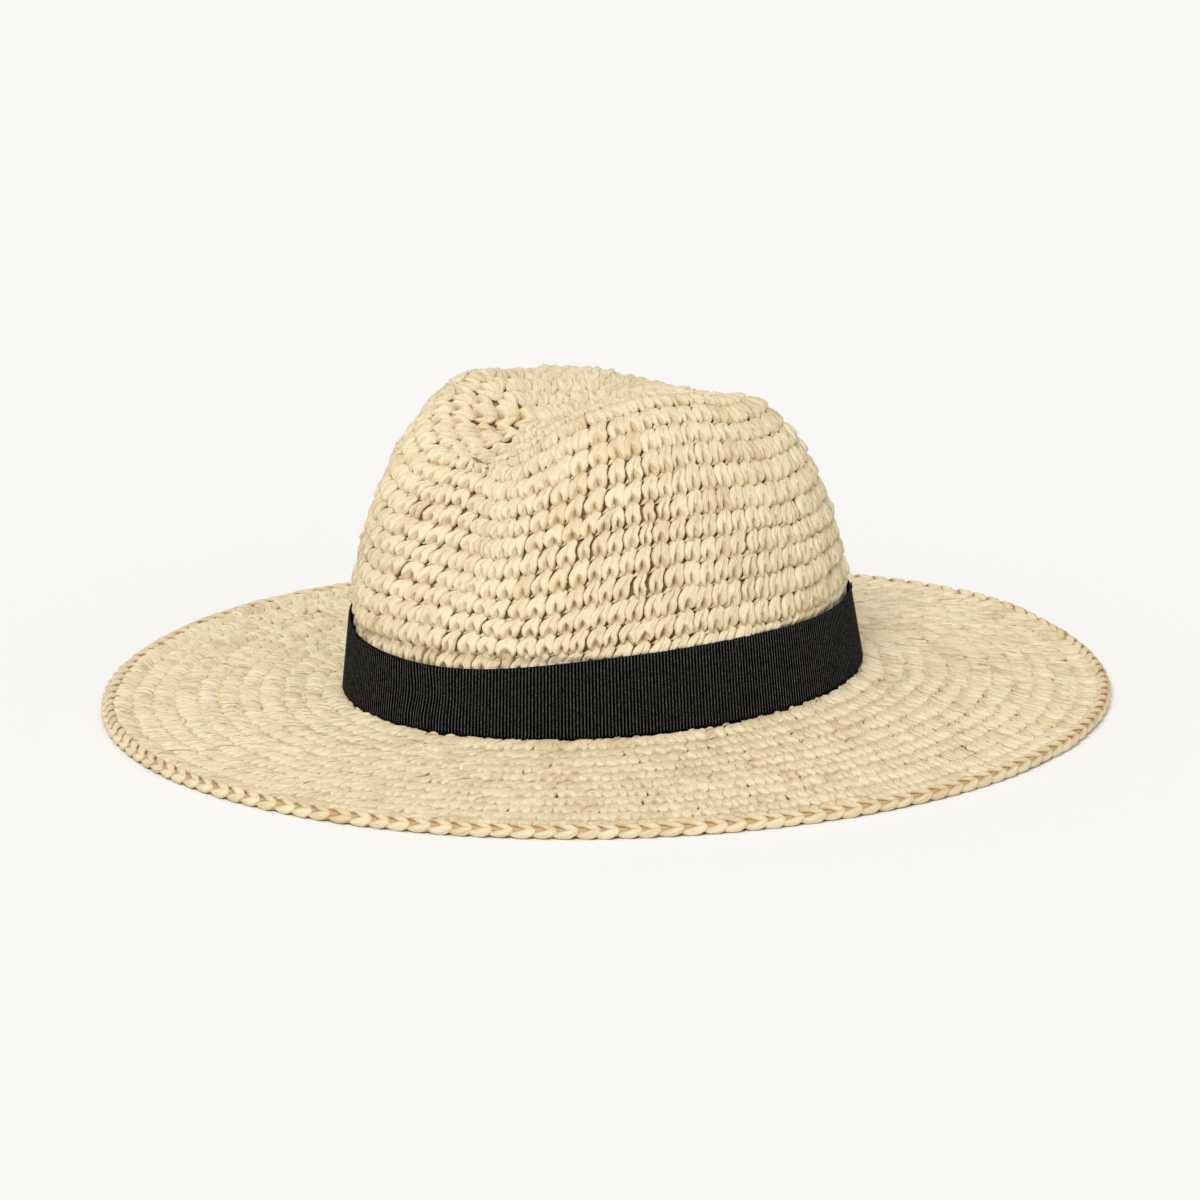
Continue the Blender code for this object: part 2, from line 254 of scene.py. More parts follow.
def crown_lines(angle, side_steps=16):
    """Lines from the crown's starting chain, over its ridge and down to the break: (angles, points, 3)."""
    turn = np.radians(angle)
    ridge = ridge_points(angle)
    foot = head_oval(angle)
    along = np.sin(math.pi / 2 * np.clip(1.5 * np.cos(turn), -1, 1))
    chain_y = (CHAIN_FRONT + CHAIN_BACK + (CHAIN_BACK - CHAIN_FRONT) * along) / 2
    chain = np.stack([0 * along, chain_y, CREASE_HEIGHT + 0.001 * (1 + along)], axis=-1)
    part = np.linspace(0, 1, 25)
    rise = np.sin(part * math.pi / 2) ** crease_power(angle)[:, None]
    shares = np.stack([np.broadcast_to(part, rise.shape)] * 2 + [rise], axis=-1)
    inner = chain[:, None] + (ridge - chain)[:, None] * shares
    foot_z = BREAK_TILT * foot[:, 1]
    drop = ridge[:, 2] - foot_z
    reach = np.linalg.norm(foot - ridge[:, :2], axis=1)
    taper = SIDE_TAPER + 0.079 * bump(angle, 0, 60) - 0.008 * bump(angle, 180, 50)
    corner_reach = reach - taper * drop
    corner_drop = 0.67 * drop
    power = 2 / (2 - 0.22 * bump(angle, 161, 45))
    corner = np.linspace(0, math.pi / 2, 37)[1:]
    across = corner_reach[:, None] * np.sin(corner) ** power[:, None]
    down = corner_drop[:, None] * (1 - np.clip(np.cos(corner), 0, 1) ** power[:, None])
    side = np.linspace(0, 1, side_steps + 1)[1:]
    across = np.hstack([across, np.repeat(corner_reach[:, None], side_steps, axis=1)])
    down = np.hstack([down, corner_drop[:, None] + (drop - corner_drop)[:, None] * side])
    height = drop[:, None] - down
    dent = 0.012 * bump(angle, 153, 20) + 0.004 * bump(angle, 224, 20)
    dent = dent[:, None] * np.exp(-(((height - 0.80 * drop[:, None]) / (0.28 * drop[:, None])) ** 2))
    share = ((across + taper[:, None] * down) / reach[:, None])[..., None]
    outward = np.stack([np.sin(turn), np.cos(turn)], axis=-1)[:, None]
    flat = ridge[:, None, :2] + (foot - ridge[:, :2])[:, None] * share - dent[..., None] * outward
    outer = np.concatenate([flat, (foot_z[:, None] + height)[..., None]], axis=-1)
    lines = np.concatenate([inner, outer], axis=1)
    lines[..., 2] += BREAK_HEIGHT
    return lines


def evenly(lines, steps):
    """Each line again, with points at equal shares of its length."""
    found = []
    for line in lines:
        lengths = lengths_along(line)
        at = np.linspace(0, lengths[-1], steps)
        found.append(np.stack([np.interp(at, lengths, line[:, axis]) for axis in range(3)], axis=-1))
    return np.array(found)


GRID_ANGLES = np.arange(0, 360, 0.75)
INTO_BRAID = 0.0022


class Surface:
    """A surface round the head on a grid of angle by row, and what lies at a height over it."""

    def __init__(self, lines, rows):
        self.grid = lines
        self.rows = rows
        around = np.roll(lines, -1, axis=0) - np.roll(lines, 1, axis=0)
        along = np.gradient(lines, axis=1)
        self.normals = unit(np.cross(around, along))
        self.normals[:, 0] = self.normals[:, 1]
        lengths = np.linalg.norm(np.diff(lines, axis=1), axis=2).sum(axis=1)
        self.row_height = lengths.mean() / rows

    def place(self, angle, row, height):
        angle, row, height = np.broadcast_arrays(angle, row, height)
        count, steps = self.grid.shape[:2]
        at = (angle / 360.0 * count) % count, np.clip(row / self.rows, 0, 1) * (steps - 1)
        return blended(self.grid, *at) + unit(blended(self.normals, *at)) * height[..., None]


def crown_surface():
    return Surface(evenly(crown_lines(GRID_ANGLES), 161), CROWN_ROWS)


def brim_surface():
    """The brim's middle, from the crown's outer face to a little way into the braid."""
    inner, outer = head_oval(GRID_ANGLES, -FABRIC / 2), brim_oval(GRID_ANGLES, -EDGE_DEPTH - GAP)
    span = np.linalg.norm(outer - inner, axis=1)
    start, end = FABRIC / span, 1 + INTO_BRAID / span
    share = start[:, None] + (end - start)[:, None] * np.linspace(0, 1, 45)
    flat = inner[:, None] + (outer - inner)[:, None] * share[..., None]
    top = break_height(inner[:, 1]) - GAP - FABRIC / 2
    low = EDGE_HEIGHT / 2 + brim_lift(GRID_ANGLES)
    height = top[:, None] + (low - top)[:, None] * share
    return Surface(np.concatenate([flat, height[..., None]], axis=-1), BRIM_ROWS)


def wall_grid():
    """The crown's wall: a point at each whole degree and each of WALL_LEVELS over the break."""
    upwards = crown_lines(np.arange(0, 360, 1.0), side_steps=48)[:, ::-1]
    levels = upwards[..., 2] - break_height(upwards[:, :1, 1])
    below_corner = slice(0, 40)
    wall = []
    for level, line in zip(levels[:, below_corner], upwards[:, below_corner]):
        wall.append(np.stack([np.interp(WALL_LEVELS, level, line[:, axis]) for axis in range(3)], axis=-1))
    return np.array(wall)


def wall_place(angle, height, offset):
    """A point beside the crown's wall at this height over the break, moved outwards by offset."""
    angle, height, offset = np.broadcast_arrays(angle, height, offset)
    around = (angle / 360.0 * len(WALL)) % len(WALL)
    along = np.clip(height / WALL_LEVELS[-1], 0, 1) * (len(WALL_LEVELS) - 1)
    turn = np.radians(angle)
    outward = unit(np.stack([np.sin(turn) / HEAD_WIDTH, np.cos(turn) / HEAD_LENGTH, 0 * turn], axis=-1))
    return blended(WALL, around, along) + outward * offset[..., None]


WALL_LEVELS = np.linspace(0, 0.045, 46)
WALL = wall_grid()


# Where the stitches go.


class Ring:
    """One round's line, which turns an angle into the distance along it and back."""

    def __init__(self, surface, row):
        self.angles = np.linspace(0, 360, 1441)
        self.lengths = lengths_along(surface.place(self.angles, row, 0.0))
        self.total = self.lengths[-1]

    def distance(self, angle):
        return np.floor(angle / 360) * self.total + np.interp(angle % 360, self.angles, self.lengths)

    def angle(self, distance):
        turns = np.floor(distance / self.total)
        return turns * 360 + np.interp(distance - turns * self.total, self.lengths, self.angles)


def relaxed(target, total):
    """Distances round a ring, evened out but kept near their targets."""
    at = target
    for _ in range(6):
        before = np.append(at[-1] - total, at[:-1])
        after = np.append(at[1:], at[0] + total)
        at = at + 0.40 * ((before + after) / 2 - at) + 0.10 * (target - at)
    return at


def lay_round(surface, row, pitch, parents, drift, chance):
    """One round: each stitch's row, angle, neck angle, width in degrees and width in metres.

    Each stitch grows from a parent in the round before. Where the round widens, some parents bear two.
    """
    ring = Ring(surface, row + 0.5)
    if parents is None:
        count = round(ring.total / pitch)
        at = np.arange(count) * ring.total / count
        necks = ring.angle(at)
    else:
        along = ring.distance(parents)
        room = np.append(along[1:], along[0] + ring.total) - along
        room = (room + np.roll(room, 1)) / 2
        extra = np.clip(room / pitch - 1, 0, 1)
        due = np.cumsum(extra) + chance.random()
        twice = np.floor(due) > np.floor(due - extra)
        parent = np.repeat(np.arange(len(parents)), 1 + twice)
        paired = twice[parent]
        second = np.append(False, parent[1:] == parent[:-1])
        side = np.where(paired, np.where(second, 0.30, -0.30), 0.0)
        stray = 0.10 * chance.standard_normal(len(parent))
        at = relaxed(along[parent] + (side + drift + stray) * pitch, ring.total)
        necks = ring.angle(ring.distance(parents[parent]) + 0.45 * side * pitch)
    angle = ring.angle(at)
    widths = (np.append(angle[1:], angle[0] + 360) - np.append(angle[-1] - 360, angle[:-1])) / 2
    lengths = (np.append(at[1:], at[0] + ring.total) - np.append(at[-1] - ring.total, at[:-1])) / 2
    rows = np.full(len(angle), float(row))
    return {"row": rows, "angle": angle, "neck": necks, "turn": widths, "pitch": lengths}


def lay_rounds(surface, pitches, parents, drift, seed):
    chance = np.random.default_rng(seed)
    rounds = []
    for row, pitch in enumerate(pitches):
        rounds.append(lay_round(surface, row, pitch, parents, drift, chance))
        parents = rounds[-1]["angle"]
    return rounds


def wander(angle, row, depth):
    """How far the rounds stray from their even places, as a share of a row."""
    chance = np.random.default_rng(5)
    stray = 0.0
    for waves in (3, 7, 13, 22):
        phase, tilt = chance.random() * 2 * math.pi, chance.uniform(0.4, 1.4)
        stray = stray + np.sin(np.radians(angle) * waves + phase + tilt * row) / math.sqrt(waves)
    return depth * stray


# Strands.


def tube_rings(middle, lateral, normal, across, up):
    """Rings of points round each point of a strand's middle, from its two side directions."""
    sideways = lateral[..., None, :] * across[..., None]
    return middle[..., None, :] + sideways + normal[..., None, :] * up[..., None]


def strand_places(across, up, along):
    """Each point's place in its strand, which the straw's streaks and its painted crevice shade follow."""
    return np.stack([across, up, np.broadcast_to(along, across.shape)], axis=-1)


def loop_tube(centre, width, thick, roll, phase):
    """Rings of points round each loop's middle, and each point's place in its strand."""
    tangent = unit(np.gradient(centre, axis=-2))
    row_way = np.broadcast_to(np.array([0, 1.0, 0]), tangent.shape)
    lateral = unit(row_way - (row_way * tangent).sum(-1, keepdims=True) * tangent)
    normal = np.cross(lateral, tangent)
    normal = normal * np.sign(normal[..., 2:3] + 1e-9)
    cos_roll, sin_roll = np.cos(roll)[..., None], np.sin(roll)[..., None]
    lateral, normal = lateral * cos_roll - normal * sin_roll, normal * cos_roll + lateral * sin_roll
    turn = np.linspace(0, 2 * math.pi, AROUND_LOOP, endpoint=False)
    wide, tall = signed_power(np.cos(turn), 0.75), signed_power(np.sin(turn), 0.75)
    waves = np.sin(5 * turn + phase[..., None]) + 0.8 * np.sin(3 * turn - 1.7 * phase[..., None])
    folds = 1 + 0.05 * waves
    across = width[..., None] * wide * folds
    up = thick[..., None] * tall * folds
    steps = np.linalg.norm(np.diff(centre, axis=-2), axis=-1)
    along = np.concatenate([np.zeros(steps.shape[:-1] + (1,)), np.cumsum(steps, axis=-1)], axis=-1)
    return tube_rings(centre, lateral, normal, across, up), strand_places(across, up, along[..., None])


def stitch_rings(stitches, row_height, shape, gaps, chance):
    """Each stitch in its own axes (across, along the row, height): a body that splits into two legs."""
    count = len(stitches["angle"])
    along, half, height, notch, deep = shape.T[:, None, :, None]
    pitch = stitches["pitch"][:, None, None]

    def vary(what, *size):
        drawn = chance.standard_normal((count, *(size or (1, 1))))
        return SPREAD[what] * np.clip(drawn, -LIMIT, LIMIT)

    split = smooth((along - 0.35) / 0.5)
    notch = notch * (1 + vary("notch") * split)
    deep = np.clip(deep + vary("notch depth") * split, 0, 1.8)
    outer = notch + (1 - notch) * LEG_PLACES
    across = np.concatenate([outer[..., ::-1], 0 * outer[..., :1], -outer], axis=-1)
    side = np.sign(across)
    end = np.maximum(smooth((along - 0.75) / 0.35), smooth((0.15 - along) / 0.25))
    fall = NOTCH_FALL * np.clip(deep, 0, 1) + BODY_FALL * (1 - end) + TIP_FALL * end
    fall = np.concatenate([fall[..., ::-1], 0 * fall[..., :1], fall], axis=-1)
    lines = across.shape[-1]
    raised = height * (1 + vary("height")) + vary("lift") + side * vary("leg lift") * smooth(along / 0.3)
    folds = vary("fold", 1, lines) + vary("fold along", 1, lines) * along + vary("crumple", len(shape), lines)
    body = np.sin(math.pi * np.clip((along + 0.2) / 1.3, 0, 1))
    up = STITCH_BACK + (raised - STITCH_BACK) * (1 - fall) + folds * body
    up = np.where(side == 0, np.maximum(up - NOTCH_DROP * deep, STITCH_BACK + 0.0001), up)
    narrow = gaps * (chance.random((count, 1, 1)) < MISSED)
    wide = 1 - narrow + vary("width") + side * vary("leg width") * split + vary("outline", len(shape), 1)
    wide = half * pitch * wide
    lean = vary("lean") * pitch * along + vary("neck") * pitch * (1 - smooth((along + 0.2) / 0.5))
    x = across * wide + lean
    y = along + vary("length") + side * vary("leg length") * split + vary("tip", 1, lines) * split
    y = np.broadcast_to(y * row_height, x.shape)
    back = np.array([-0.75, 0.0, 0.75])
    back_shape = x.shape[:-1] + (3,)
    x = np.concatenate([x, back * wide.mean(axis=-1, keepdims=True) + lean], axis=-1)
    y = np.concatenate([y, np.broadcast_to(y.mean(axis=-1, keepdims=True), back_shape)], axis=-1)
    up = np.concatenate([up, np.full(back_shape, STITCH_BACK)], axis=-1)
    places = np.concatenate([across, np.broadcast_to(back, across.shape[:-1] + (3,))], axis=-1)
    strand = np.stack(np.broadcast_arrays(places * STREAK_WIDTH, up, along * row_height), axis=-1)
    return np.stack([x, y, up], axis=-1), strand


def loop_rings(stitches, row_height, chance):
    """The loop from each stitch's neck to the next one's, in the same axes."""
    count = len(stitches["angle"])
    across, along, height, width, thick = LOOP.T

    def vary(what):
        return LOOP_SPREAD[what] * np.clip(chance.standard_normal((count, 1, 1)), -LIMIT, LIMIT)

    x = across * stitches["pitch"][:, None, None]
    y = (along + vary("place")) * row_height
    z = height + vary("lift")
    centre = np.stack(np.broadcast_arrays(x, y, z), axis=-1)
    wide = width * row_height * (1 + vary("width"))
    deep = thick * (1 + vary("thickness"))
    roll, phase = np.radians(vary("roll")), vary("folds")
    sizes = (wide, deep, roll, phase)
    return loop_tube(centre, *(np.broadcast_to(size, centre.shape[:-1]) for size in sizes))


def on_surface(surface, stitches, rings, depth, press):
    """Points from their stitches' own axes to their places on the surface."""
    spread = (slice(None),) + (None,) * (rings.ndim - 2)
    share = rings[..., 1] / surface.row_height
    blend = smooth(share / 0.55)
    neck, own = stitches["neck"][spread], stitches["angle"][spread]
    angle = neck + (own - neck) * blend + rings[..., 0] / stitches["pitch"][spread] * stitches["turn"][spread]
    row = stitches["row"][spread] + share
    row = row + wander(angle, row, depth)
    height = rings[..., 2]
    if press is not None:
        height = press(angle, row, height)
    return surface.place(angle, row, height)


def tube_mesh(name, parts):
    """One mesh of closed tubes. parts holds (rings, strand, tone_and_sheen) with rings as (..., along,
    around, 3).
    """
    points, strands, tones, quads, caps, start = [], [], [], [], [], 0
    for rings, strand, tone_and_sheen in parts:
        along, around = rings.shape[-3], rings.shape[-2]
        rings = rings.reshape(-1, along, around, 3)
        index = start + np.arange(rings.size // 3).reshape(rings.shape[:-1])
        near, far = index[:, :-1], index[:, 1:]
        quads.append(np.stack([near, far, np.roll(far, -1, 2), np.roll(near, -1, 2)], axis=-1).reshape(-1, 4))
        caps.append((np.concatenate([index[:, 0], index[:, -1, ::-1]]), around))
        points.append(rings.reshape(-1, 3))
        strands.append(strand.reshape(-1, 3))
        tones.append(np.repeat(tone_and_sheen.reshape(-1), along * around))
        start += rings.size // 3
    loops = [np.concatenate(quads).reshape(-1)] + [cap.reshape(-1) for cap, _ in caps]
    sizes = [np.full(sum(len(quad) for quad in quads), 4)]
    sizes += [np.full(len(cap), around) for cap, around in caps]
    mesh = polygon_mesh(name, np.concatenate(points), np.concatenate(loops), np.concatenate(sizes))
    strand_field = mesh.attributes.new("strand", "FLOAT_VECTOR", "POINT")
    strand_field.data.foreach_set("vector", np.concatenate(strands).astype(np.float32).ravel())
    set_tone_and_sheen(mesh, np.concatenate(tones))
    return mesh


def set_tone_and_sheen(mesh, values):
    """A value for each point: the straw reads it as a tone that differs from strand to strand, the ribbon as
    painted sheen, brightest on its ribs' crests.
    """
    tone_and_sheen_field = mesh.attributes.new("tone_and_sheen", "FLOAT", "POINT")
    tone_and_sheen_field.data.foreach_set("value", np.ravel(values).astype(np.float32))


def polygon_mesh(name, points, loops, sizes):
    mesh = bpy.data.meshes.new(name)
    mesh.vertices.add(len(points))
    mesh.vertices.foreach_set("co", points.astype(np.float32).ravel())
    mesh.loops.add(len(loops))
    mesh.loops.foreach_set("vertex_index", loops.astype(np.int32))
    mesh.polygons.add(len(sizes))
    mesh.polygons.foreach_set("loop_start", np.append(0, np.cumsum(sizes)[:-1]).astype(np.int32))
    mesh.update(calc_edges=True)
    mesh.validate()
    mesh.shade_smooth()
    return mesh


def joined_mesh(name, sections, closed):
    """Closed sections joined round a ring, or along a strip with a cap at each end: (along, section, 3)."""
    length, around = sections.shape[:2]
    index = np.arange(length * around).reshape(length, around)
    near, far = (index, np.roll(index, -1, axis=0)) if closed else (index[:-1], index[1:])
    quads = np.stack([near, np.roll(near, -1, 1), np.roll(far, -1, 1), far], axis=-1).reshape(-1, 4)
    caps = [] if closed else [index[0][::-1], index[-1]]
    sizes = np.concatenate([np.full(len(quads), 4), np.full(len(caps), around)])
    return polygon_mesh(name, sections.reshape(-1, 3), np.concatenate([quads.ravel(), *caps]), sizes)


def add_piece(mesh, material, replaced):
    """A piece with its mesh's name, on the hat's only body, in place of a CAD node."""
    piece = bpy.data.objects.new(mesh.name, mesh)
    mesh.materials.append(material)
    bpy.context.scene.collection.objects.link(piece)
    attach(piece, "root")
    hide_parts(replaced)
    return piece


# Materials.


def feed(tree, socket, value):
    """Links another node's output to this input, or sets its value."""
    if isinstance(value, bpy.types.NodeSocket):
        tree.links.new(value, socket)
    else:
        socket.default_value = value


def node(tree, kind, **inputs):
    made = tree.nodes.new(kind)
    for name, value in inputs.items():
        feed(tree, made.inputs[name.replace("_", " ")], value)
    return made


def worked_out(tree, kind, operation, *values):
    """The output of a maths node fed with these values."""
    made = tree.nodes.new(kind)
    made.operation = operation
    for socket, value in zip(made.inputs, values):
        feed(tree, socket, value)
    return made.outputs[0]


def attribute(tree, name, output):
    made = tree.nodes.new("ShaderNodeAttribute")
    made.attribute_name = name
    return made.outputs[output]


def object_noise(tree, scale, detail):
    """Noise in the object's own space."""
    place = tree.nodes.new("ShaderNodeTexCoord").outputs["Object"]
    return node(tree, "ShaderNodeTexNoise", Vector=place, Scale=scale, Detail=detail).outputs["Fac"]


def add_relief(tree, shader, height, strength, depth):
    relief = node(tree, "ShaderNodeBump", Strength=strength, Distance=depth, Height=height)
    feed(tree, shader.inputs["Normal"], relief.outputs["Normal"])


def new_material(name, roughness, specular, metallic=0.0):
    material = bpy.data.materials.new(name)
    material.use_nodes = True
    tree = material.node_tree
    shader = tree.nodes["Principled BSDF"]
    values = {"Roughness": roughness, "Specular IOR Level": specular, "Metallic": metallic}
    for field, value in values.items():
        shader.inputs[field].default_value = value
    return material, tree, shader


def ramp(tree, factor, *stops):
    """A colour for each value of factor. Each stop is a place from 0 to 1 and a colour."""
    made = node(tree, "ShaderNodeValToRGB", Fac=factor)
    elements = made.color_ramp.elements
    while len(elements) < len(stops):
        elements.new(0.5)
    for element, (place, colour) in zip(elements, stops):
        element.position = place
        element.color = (*colour, 1)
    return made.outputs["Color"]


STREAK_SCALE = (950, 950, 90)  # across, through and along a strand
STREAK_SHIFTS = (311, 173, 97)  # sets each strand's streaks apart
STREAK_SHARE = 0.55
BLOTCH_SHARE = 0.35
# Painted shade in the straw's crevices: the colour is multiplied by this tint where a strand lies low, fully
# at the low height and below, not at all from the high one up.
CREVICE_SHADE_LOW = -0.0009
CREVICE_SHADE_HIGH = 0.0010
PAINTED_CREVICE_SHADE = (0.56, 0.36, 0.15, 1)


def straw_material(name, light, dark, depth):
    """Flat paper straw: streaks along each strand, strands of different tones, and painted shade in the
    crevices, where the strands lie low.
    """
    material, tree, shader = new_material(name, 0.62, 0.35)
    strand, tone_and_sheen = attribute(tree, "strand", "Vector"), attribute(tree, "tone_and_sheen", "Fac")
    stretched = node(tree, "ShaderNodeMapping", Vector=strand, Scale=STREAK_SCALE).outputs["Vector"]
    shifted = node(tree, "ShaderNodeCombineXYZ", X=tone_and_sheen, Y=tone_and_sheen).outputs["Vector"]
    moved = worked_out(tree, "ShaderNodeVectorMath", "MULTIPLY_ADD", shifted, STREAK_SHIFTS, stretched)
    noise = node(tree, "ShaderNodeTexNoise", Vector=moved, Scale=1.0, Detail=3.0, Roughness=0.6)
    streaks = noise.outputs["Fac"]
    place = tree.nodes.new("ShaderNodeNewGeometry").outputs["Position"]
    blotches = node(tree, "ShaderNodeTexNoise", Vector=place, Scale=42, Detail=2).outputs["Fac"]
    mixed = worked_out(tree, "ShaderNodeMath", "MULTIPLY_ADD", streaks, STREAK_SHARE, tone_and_sheen)
    total = worked_out(tree, "ShaderNodeMath", "MULTIPLY_ADD", blotches, BLOTCH_SHARE, mixed)
    middle = tuple((a + b) / 2 for a, b in zip(light, dark))
    colour = ramp(tree, total, (0.35, dark), (0.75, middle), (1.0, light))
    # Painted shade: the lower a point lies in its strand, the more its colour is multiplied by the crevice
    # tint.
    height = node(tree, "ShaderNodeSeparateXYZ", Vector=strand).outputs["Y"]
    crevice_shade = node(tree, "ShaderNodeMapRange", Value=height, From_Min=CREVICE_SHADE_LOW, From_Max=CREVICE_SHADE_HIGH)
    crevice_shade.inputs["To Min"].default_value = 1.0
    crevice_shade.inputs["To Max"].default_value = 0.0
    deep = tree.nodes.new("ShaderNodeMix")
    deep.data_type = "RGBA"
    deep.blend_type = "MULTIPLY"
    feed(tree, deep.inputs["Factor"], crevice_shade.outputs["Result"])
    feed(tree, deep.inputs[6], colour)
    feed(tree, deep.inputs[7], PAINTED_CREVICE_SHADE)
    feed(tree, shader.inputs["Base Color"], deep.outputs[2])
    add_relief(tree, shader, streaks, 0.9, depth)
    return material


def woven_material(name, light, dark, scale, roughness, depth):
    """A plain weave in the object's own space, for tapes and threads."""
    material, tree, shader = new_material(name, roughness, 0.3)
    weave = object_noise(tree, scale, 3.0)
    feed(tree, shader.inputs["Base Color"], ramp(tree, weave, (0.35, dark), (0.65, light)))
    add_relief(tree, shader, weave, 0.5, depth)
    return material


def steel_material():
    material, tree, shader = new_material("spring_steel", 0.32, 0.5, 1.0)
    drawn = object_noise(tree, 900.0, 2.0)
    colour = ramp(tree, drawn, (0.3, (0.46, 0.46, 0.47)), (0.7, (0.62, 0.62, 0.63)))
    feed(tree, shader.inputs["Base Color"], colour)
    return material


def ribbon_material():
    """Dull black grosgrain: fine threads along each rib, painted sheen on the ribs' crests and painted shade
    in the furrows between them.
    """
    material, tree, shader = new_material("black_grosgrain", 0.65, 0.01)
    threads = object_noise(tree, 1900.0, 2.0)
    painted_sheen = worked_out(tree, "ShaderNodeMath", "MULTIPLY", threads, attribute(tree, "tone_and_sheen", "Fac"))
    # Painted sheen and shade: near black in the furrows, grey where the threads on the crests catch the
    # light.
    colour = ramp(tree, painted_sheen, (0.20, (0.0001, 0.0001, 0.0001)), (0.72, (0.135, 0.131, 0.124)))
    feed(tree, shader.inputs["Base Color"], colour)
    add_relief(tree, shader, threads, 0.6, 0.00008)
    return material


# The crown and the brim.

STITCH_TONES = 0.09
STRAND_TONES = 0.04
BACK_RELIEF = 0.00049
PRESS_DEPTH = 0.0022
PRESS_BLEND = 0.0035
END_LIFT = 0.0009


def tones(rings, chance):
    """A tone for each strand, nearly the same for strands of one stitch."""
    shape = rings.shape[:-3]
    stitch = STITCH_TONES * chance.standard_normal(shape[:1] + (1,) * (len(shape) - 1))
    return np.clip(0.5 + stitch + STRAND_TONES * chance.standard_normal(shape), 0.0, 1.0)


def stitch_parts(surface, rounds, shape, gaps, stray, seed, press):
    chance = np.random.default_rng(seed)
    stitches = {key: np.concatenate([laid[key] for laid in rounds]) for key in rounds[0]}
    bodies = stitch_rings(stitches, surface.row_height, shape, gaps, chance)
    loops = loop_rings(stitches, surface.row_height, chance)
    parts = []
    for rings, strand in (bodies, loops):
        placed = on_surface(surface, stitches, rings, stray, press)
        parts.append((placed, strand, tones(rings, chance)))
    return parts


def back_mesh(name, surface, rows):
    """The sheet behind the stitches over these rows, which carries their painted shade: a closed shell with a
    faint relief on its inner side.
    """
    outer, inner = BACK_HEIGHTS
    rows = np.linspace(rows[0], rows[1], int((rows[1] - rows[0]) * 5) + 2)
    angle, row = np.meshgrid(np.arange(240) * 1.5, rows, indexing="ij")
    waves = np.round(np.interp(row, (0, surface.rows), (20, 76)) * 3)
    relief = np.abs(BACK_RELIEF * np.sin(np.radians(angle) * waves) * np.sin(2 * math.pi * row))
    top, low = surface.place(angle, row, outer), surface.place(angle, row, inner - relief)
    return joined_mesh(name, np.concatenate([top, low[:, ::-1]], axis=1), closed=True)


def under_band(surface):
    """Presses the crown's stitches flat where the band covers them."""

    def press(angle, row, height):
        flat = surface.place(angle, row, 0.0)
        over = flat[..., 2] - break_height(flat[..., 1])
        return height - PRESS_DEPTH * smooth((BAND_LIFT + BAND_HEIGHT + GAP - over) / PRESS_BLEND)

    return press


def brim_ends(angle, row, height):
    """Lifts the brim's first round to meet the band and its last one to lie level with the braid."""
    lift = END_LIFT * (1 - smooth(row / 1.2))
    return height + lift + END_LIFT * smooth((row - BRIM_ROWS + 1.3) / 1.3)


def grouped(rounds):
    """Neighbouring rounds in groups with at most MOST_IN_PIECE stitches."""
    groups = [[]]
    for laid in rounds:
        if sum(len(other["angle"]) for other in groups[-1]) + len(laid["angle"]) > MOST_IN_PIECE:
            groups.append([])
        groups[-1].append(laid)
    return groups


def crown_and_brim(straw, shade):
    crown, brim = crown_surface(), brim_surface()
    crown_widths = np.interp(np.arange(CROWN_ROWS), WIDTH_ROWS, CROWN_WIDTHS)
    crown_rounds = lay_rounds(crown, crown_widths, None, CROWN_DRIFT, 11)
    brim_widths = [BRIM_STITCH_WIDTH] * BRIM_ROWS
    brim_rounds = lay_rounds(brim, brim_widths, crown_rounds[-1]["angle"], BRIM_DRIFT, 12)
    tip_rounds, side_rounds = crown_rounds[:TIP_ROWS], crown_rounds[TIP_ROWS:SHOWN_CROWN_ROWS]
    # Each with its stitch, how much narrower the missed ones are, how far its rounds stray and its press.
    fabrics = (
        ("crown_tip", crown, tip_rounds, TIP_STITCH, 0.0, 0.05, None),
        ("crown_side", crown, side_rounds, PUFFED_STITCH, 0.28, 0.09, under_band(crown)),
        ("brim", brim, brim_rounds, FLAT_STITCH, 0.06, 0.08, brim_ends),
    )
    for place, (name, surface, rounds, shape, gaps, stray, press) in enumerate(fabrics):
        for number, group in enumerate(grouped(rounds)):
            piece = f"{name}_stitches_{number + 1}"
            seed = 20 + 10 * place + number
            parts = stitch_parts(surface, group, shape, gaps, stray, seed, press)
            add_piece(tube_mesh(piece, parts), straw, name)
    backs = (
        ("crown_tip", crown, (0, TIP_ROWS)),
        ("crown_side", crown, (TIP_ROWS, CROWN_ROWS)),
        ("brim", brim, (0, BRIM_ROWS)),
    )
    for name, surface, rows in backs:
        add_piece(back_mesh(f"{name}_back", surface, rows), shade, name)


# The braid round the brim. Columns: share of a link; degrees up from straight out; how far out, as a
# share of the edge's half depth; half the width and half the thickness in metres.
UPPER_ARM = np.array([
    (-0.10, 20, 0.75, 0.0007, 0.0006),
    (0.10, 34, 0.92, 0.0013, 0.0008),
    (0.32, 64, 0.92, 0.0016, 0.0009),
    (0.55, 94, 0.92, 0.0018, 0.0009),
    (0.78, 116, 0.95, 0.0017, 0.0009),
    (0.98, 126, 0.95, 0.0014, 0.0007),
    (1.15, 128, 0.75, 0.0008, 0.0005),
])
OUTER_ARM = np.array([
    (-0.10, 20, 0.75, 0.0008, 0.0007),
    (0.10, 8, 0.98, 0.0014, 0.0011),
    (0.32, -10, 1.06, 0.0019, 0.0013),
    (0.55, -24, 1.08, 0.0020, 0.0013),
    (0.78, -34, 1.02, 0.0018, 0.0012),
    (0.98, -38, 0.88, 0.0013, 0.0010),
    (1.15, -36, 0.60, 0.0007, 0.0006),
])
